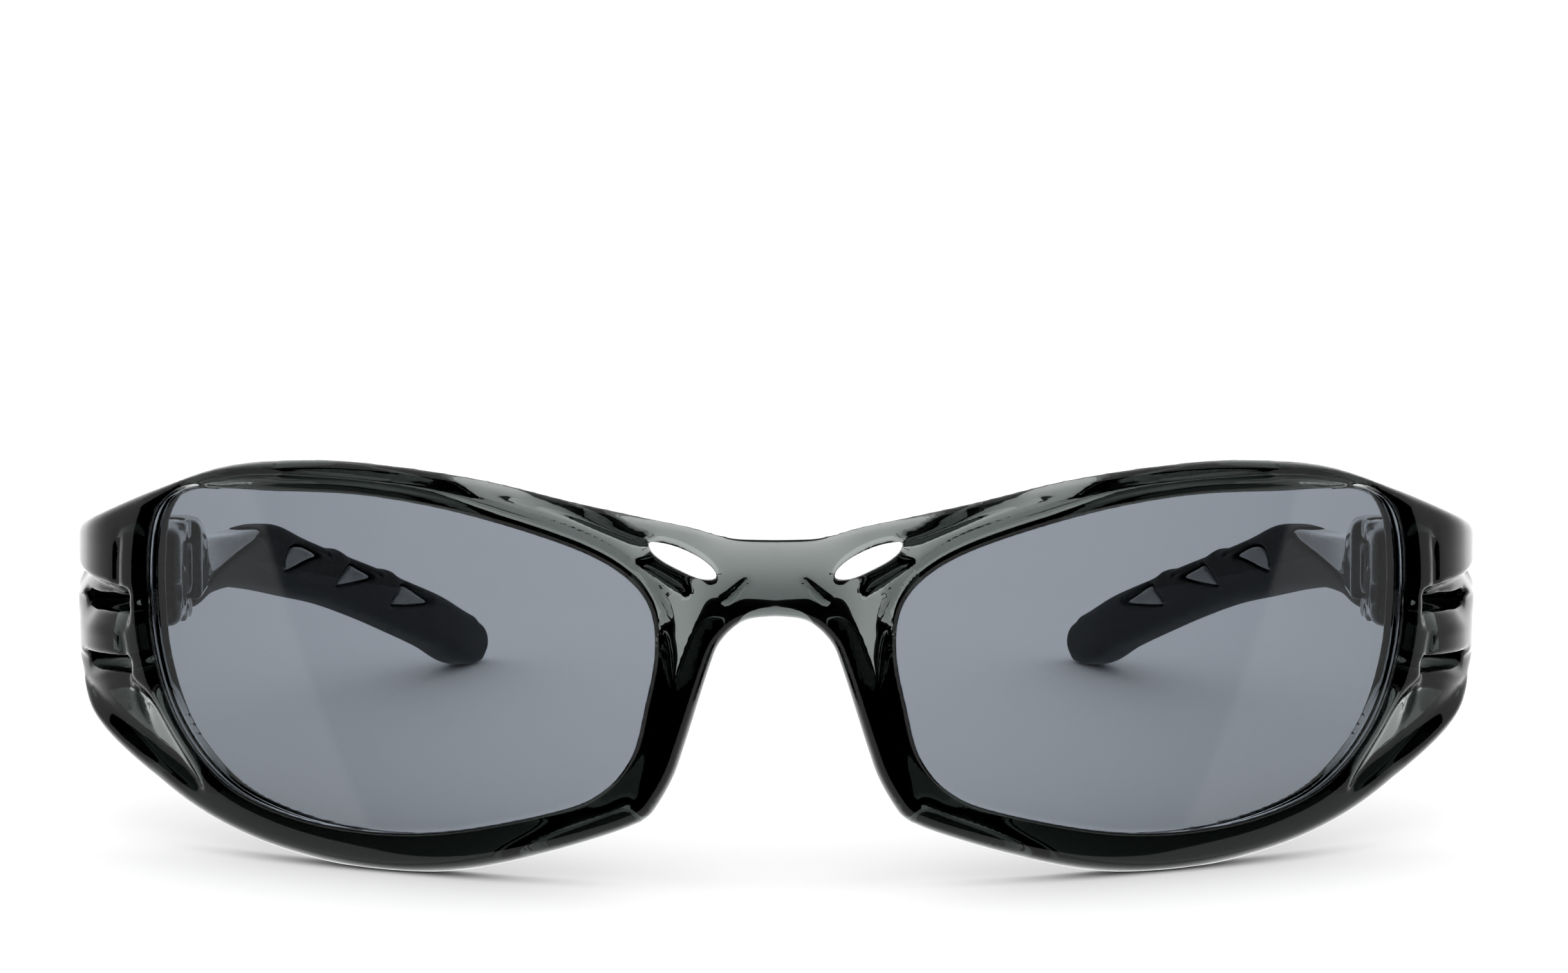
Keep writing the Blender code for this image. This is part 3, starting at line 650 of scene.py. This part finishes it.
def make_arm(name, mirror):
    """The hard arm: a bare panel with a cheek at the hinge, the sleeve's core and the knuckle."""
    axes = grid(0.22, (-6.2, 6.2), (40.8, 136), (1.0, 30.6))
    p, y, z, flat_y, flat_z = temple_grid(axes)
    middle, half = temple_station(y)
    side = side_view(flat_y, flat_z)
    panel = bar(p, half, side, 0, 1.3)
    x = p + middle
    panel = blend_min(panel, box(x, y, z, (61.7, 49.5, 24.4), (3.6, 2.8, 4.8), 1.4), 1.6)
    panel = blend_max(panel, TEMPLE_START - y + 0 * p, 1.2)
    panel = blend_max(panel, -tongue(flat_y, flat_z)[None] + 0.12, 0.6)
    core = bar(p, half, side, SLEEVE_WALL, 1.4)
    boss = blend_max(bar(p, half, side, 0.12, 1.0), windows(flat_y, flat_z)[None] + 0.15, 0.5)
    core = blend_min(core, boss, 0.4)
    core = blend_max(core, np.maximum(y - CORE_END, 46.0 - y) + 0 * p, 1.0)
    body = blend_min(panel, core, 0.4)
    lug_room = np.maximum(x - 63.2, y - 46.7)
    body = blend_max(body, -lug_room + 0 * z, 0.5)
    body = np.minimum(body, knuckle(x, y, z))
    body = blend_max(body, SCREW_HOLE_RADIUS - np.hypot(x - PIN_X, y - PIN_Y) + 0 * z, 0.3)
    return moulded_piece(name, body, axes, temple_place, mirror)


def knuckle(x, y, z):
    """The temple's eye, between the frame's lugs, and its neck."""
    low = HINGE_BOTTOM + LUG_HEIGHT + LUG_GAP
    high = HINGE_TOP - LUG_HEIGHT - LUG_GAP
    eye = np.hypot(x - PIN_X, y - PIN_Y) - KNUCKLE_RADIUS
    neck = np.maximum(np.abs(x - 61.2) - 2.7, np.abs(y - 46.0) - 2.0)
    neck = np.maximum(neck, 23.1 - z)
    plan = blend_min(eye + 0 * z, neck, 0.5)
    return blend_max(plan, np.abs(z - (low + high) / 2) - (high - low) / 2, 0.4)


def make_sleeve(name, mirror):
    """The rubber sleeve with its humps, creases and three windows, bored out for the core."""
    axes = grid(0.22, (-5.8, 5.8), (45.8, 147.2), (-0.7, 27.6))
    p, y, z, flat_y, flat_z = temple_grid(axes)
    middle, half = temple_station(y)
    outer = bar(p, half, side_view(flat_y, flat_z, TOP_BUMPS), 0, 1.9)
    outer = np.maximum(outer, 47.0 - y)
    outer = blend_max(outer, tongue(flat_y, flat_z)[None] + 0.12, 0.6)
    for route in TOP_CREASES:
        crease = line_distance(np.array(route), flat_y, flat_z)[None] - 0.1
        outer = blend_max(outer, -blend_max(crease, half - 0.45 - np.abs(p), 0.3), 0.4)
    side = side_view(flat_y, flat_z)
    bore = np.maximum(bar(p, half, side, SLEEVE_WALL - 0.2, 1.4), y - CORE_END - 0.25)
    body = blend_max(outer, -bore, 0.2)
    body = blend_max(body, -windows(flat_y, flat_z)[None] + 0 * p, 0.5)
    body = blend_max(body, -z + 0 * p + 0 * y, 0.4)
    return moulded_piece(name, body, axes, temple_place, mirror)


# ---------------------------------------------------------------- screws and inserts

def pin_place(points):
    """Grid points measured from the hinge's axis in the world."""
    return to_world(points[:, 0] + PIN_X, points[:, 1] + PIN_Y, points[:, 2])


def make_screw(name, mirror):
    """A hinge screw with a low domed head, a straight slot and a thread on its lower half."""
    axes = grid(0.075, (-1.5, 1.5), (-1.5, 1.5), (HINGE_BOTTOM, HINGE_TOP + 0.1))
    x, y, z = spread(axes)
    radius = np.hypot(x, y)
    turn = (np.arctan2(y, x) / (2 * math.pi) - z / THREAD_PITCH) % 1.0
    thread = THREAD_DEPTH * (1 - np.abs(2 * turn - 1)) * step(THREAD_TOP, THREAD_TOP - 0.4, z)
    shaft = np.maximum(radius - SCREW_RADIUS + thread, np.abs(z - 24.6) - 4.6)
    crown = HINGE_TOP - 0.1 - 0.12 * (radius / HEAD_RADIUS) ** 2
    level = np.maximum(z - crown, HINGE_TOP - HEAD_HEIGHT - z)
    head = blend_max(radius - HEAD_RADIUS + 0 * z, level, 0.25)
    slot = np.maximum(np.abs(x + 0.3 * y) - 0.2, HINGE_TOP - 0.45 - z)
    body = np.maximum(blend_min(shaft, head, 0.3), -slot)
    return moulded_piece(name, body, axes, pin_place, mirror)


def make_insert(name, mirror):
    """The knurled brass nut under the lower eye."""
    axes = grid(0.06, (-1.4, 1.4), (-1.4, 1.4), (19.6, 21.5))
    x, y, z = spread(axes)
    radius = np.hypot(x, y)
    level = np.abs(z - HINGE_BOTTOM - NUT_HEIGHT / 2)
    knurl = 0.05 * np.cos(24 * np.arctan2(y, x)) * step(0.55, 0.4, level)
    tube = np.maximum(radius - NUT_RADIUS - knurl, NUT_BORE - radius)
    body = blend_max(tube, level - NUT_HEIGHT / 2, 0.15)
    return moulded_piece(name, body, axes, pin_place, mirror)


# ---------------------------------------------------------------- materials

def principled(name):
    """A new material with its node and link lists."""
    material = bpy.data.materials.new(name)
    material.use_nodes = True
    return material, material.node_tree.nodes, material.node_tree.links


def grain(nodes, links, shader, scale, strength, distance, roughness):
    """Fine surface texture: noise that drives bump and varies the roughness between two values."""
    place = nodes.new("ShaderNodeTexCoord")
    noise = nodes.new("ShaderNodeTexNoise")
    noise.inputs["Scale"].default_value = scale
    noise.inputs["Detail"].default_value = 3
    bump = nodes.new("ShaderNodeBump")
    bump.inputs["Strength"].default_value = strength
    bump.inputs["Distance"].default_value = distance
    polish = nodes.new("ShaderNodeMapRange")
    polish.inputs["To Min"].default_value = roughness[0]
    polish.inputs["To Max"].default_value = roughness[1]
    links.new(place.outputs["Object"], noise.inputs["Vector"])
    links.new(noise.outputs["Fac"], bump.inputs["Height"])
    links.new(noise.outputs["Fac"], polish.inputs["Value"])
    links.new(bump.outputs["Normal"], shader.inputs["Normal"])
    links.new(polish.outputs["Result"], shader.inputs["Roughness"])


def clear_plastic(name, colour, density, scale, strength, roughness):
    """Tinted clear plastic: a smooth skin and a volume that absorbs light with depth."""
    material, nodes, links = principled(name)
    shader = nodes["Principled BSDF"]
    shader.inputs["Base Color"].default_value = (1, 1, 1, 1)
    shader.inputs["IOR"].default_value = 1.5
    shader.inputs["Transmission Weight"].default_value = 1
    grain(nodes, links, shader, scale, strength, 0.0001, roughness)
    volume = nodes.new("ShaderNodeVolumeAbsorption")
    volume.inputs["Color"].default_value = (*colour, 1)
    volume.inputs["Density"].default_value = density
    links.new(volume.outputs["Volume"], nodes["Material Output"].inputs["Volume"])
    return material


def rubber(name):
    """Matt black moulded rubber."""
    material, nodes, links = principled(name)
    shader = nodes["Principled BSDF"]
    shader.inputs["Base Color"].default_value = (0.004, 0.004, 0.0045, 1)
    shader.inputs["Specular IOR Level"].default_value = 0.12
    grain(nodes, links, shader, 2600, 0.25, 0.00005, (0.5, 0.75))
    return material


def metal(name, colour, roughness):
    """Turned metal with a fine grain."""
    material, nodes, links = principled(name)
    shader = nodes["Principled BSDF"]
    shader.inputs["Base Color"].default_value = (*colour, 1)
    shader.inputs["Metallic"].default_value = 1
    grain(nodes, links, shader, 4000, 0.2, 0.00003, roughness)
    return material


# ---------------------------------------------------------------- studio and camera

STUDIO_LIGHT, FILL_LIGHT, SWEEP_LIGHT = 1.2, 0.3, 0.45
ROOM_EDGE = (-0.34, 0.505, 0.564)  # y of the dark room's edge: level, slope and bow against height
FLOOR_SIZE, FLOOR_DROP = 40, 0.00002

def node_math(nodes, links, operation, first, second):
    """A Math node; each input is a socket or a number."""
    node = nodes.new("ShaderNodeMath")
    node.operation = operation
    for socket, value in zip(node.inputs, (first, second)):
        if isinstance(value, (int, float)):
            socket.default_value = value
        else:
            links.new(value, socket)
    return node.outputs["Value"]


def smooth_ramp(nodes, links, value, start, end, top):
    """0 where value is below start, rising smoothly to top at end."""
    ramp = nodes.new("ShaderNodeMapRange")
    ramp.interpolation_type = "SMOOTHSTEP"
    ramp.inputs["From Min"].default_value = start
    ramp.inputs["From Max"].default_value = end
    ramp.inputs["To Min"].default_value = 0.0
    ramp.inputs["To Max"].default_value = top
    links.new(value, ramp.inputs["Value"])
    return ramp.outputs["Result"]


def build_world():
    """White studio light all round; reflections also see the dark room that the camera stands in.

    The room ends where a direction's y passes a curve in its height. Past that edge reflections see
    a dim sweep of paper, which brightens towards the backdrop.
    """
    world = bpy.data.worlds.new("studio")
    bpy.context.scene.world = world
    world.use_nodes = True
    nodes, links = world.node_tree.nodes, world.node_tree.links

    def calc(operation, first, second=0.0):
        return node_math(nodes, links, operation, first, second)

    place = nodes.new("ShaderNodeTexCoord")
    split = nodes.new("ShaderNodeSeparateXYZ")
    links.new(place.outputs["Generated"], split.inputs["Vector"])
    level, slope, bow = ROOM_EDGE
    height = calc("MAXIMUM", calc("MINIMUM", split.outputs["Z"], 0.3), -0.45)
    bowed = calc("MULTIPLY", calc("MULTIPLY", height, height), bow)
    edge = calc("ADD", calc("MULTIPLY", height, slope), bowed)
    past_edge = calc("SUBTRACT", calc("ADD", split.outputs["Y"], -level), edge)
    sweep = smooth_ramp(nodes, links, past_edge, -0.015, 0.015, SWEEP_LIGHT)
    backdrop = smooth_ramp(nodes, links, past_edge, 0.5, 1.2, 1.0)
    reflected = calc("ADD", sweep, backdrop)
    path = nodes.new("ShaderNodeLightPath")
    hidden = calc("MULTIPLY", path.outputs["Is Glossy Ray"], calc("SUBTRACT", 1.0, reflected))
    fill = calc("MULTIPLY", path.outputs["Is Diffuse Ray"], FILL_LIGHT)
    total = calc("ADD", calc("SUBTRACT", 1.0, hidden), fill)
    strength = calc("MULTIPLY", total, STUDIO_LIGHT)
    links.new(strength, nodes["Background"].inputs["Strength"])
    nodes["Background"].inputs["Color"].default_value = (1, 1, 1, 1)


def build_floor():
    """A wide sheet of pale paper that reflections don't see."""
    bpy.ops.mesh.primitive_plane_add(size=FLOOR_SIZE, location=(0, 0, -FLOOR_DROP))
    floor = bpy.context.object
    floor.name = "floor"
    material, nodes, links = principled("floor_paper")
    shader = nodes["Principled BSDF"]
    shader.inputs["Base Color"].default_value = (0.9, 0.9, 0.9, 1)
    shader.inputs["Roughness"].default_value = 0.9
    floor.data.materials.append(material)
    floor.visible_glossy = False


def build_camera():
    """The photograph's view, from in front and a little above."""
    data = bpy.data.cameras.new("camera")
    data.lens = CAMERA_LENS
    data.sensor_width = SENSOR_WIDTH
    data.clip_start = 0.01
    camera = bpy.data.objects.new("camera", data)
    bpy.context.scene.collection.objects.link(camera)
    camera.location = [part * MM for part in CAMERA_PLACE]
    camera.rotation_euler = (math.radians(90 - CAMERA_DIP), 0, 0)
    bpy.context.scene.camera = camera


def build_pieces():
    """Every fine piece as (object, body it rides, CAD node it replaces, slot, material)."""
    smoke = clear_plastic("smoke_plastic", (0.26, 0.30, 0.29), 1500, 60, 0.05, (0.01, 0.05))
    tint = clear_plastic("lens_tint", (0.278, 0.326, 0.386), 1000, 40, 0.01, (0.0, 0.02))
    black = rubber("black_rubber")
    steel = metal("screw_steel", (0.62, 0.61, 0.6), (0.2, 0.4))
    brass = metal("insert_brass", (0.75, 0.55, 0.26), (0.25, 0.4))
    pieces = [(make_frame(), "front", "front_frame", "smoke_plastic", smoke),
              (make_saddle(), "front", "nose_saddle", "black_rubber", black)]
    for side, mirror in (("left", False), ("right", True)):
        temple = side + "_temple"
        pane = make_lens(side + "_lens_pane", mirror)
        arm = make_arm(side + "_arm", mirror)
        sleeve = make_sleeve(side + "_sleeve", mirror)
        screw = make_screw(side + "_screw", mirror)
        nut = make_insert(side + "_nut", mirror)
        pieces += [(pane, "front", side + "_lens", "lens_tint", tint),
                   (arm, temple, temple + "_arm", "smoke_plastic", smoke),
                   (sleeve, temple, temple + "_sleeve", "black_rubber", black),
                   (screw, "front", side + "_hinge_screw", "screw_steel", steel),
                   (nut, "front", side + "_hinge_insert", "insert_brass", brass)]
    return pieces


def main():
    bpy.context.scene.view_settings.view_transform = "Standard"
    for piece, body, node, slot, look in build_pieces():
        piece.data.materials.append(look)
        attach(piece, body)
        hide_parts(node)
    build_world()
    build_floor()
    build_camera()


main()
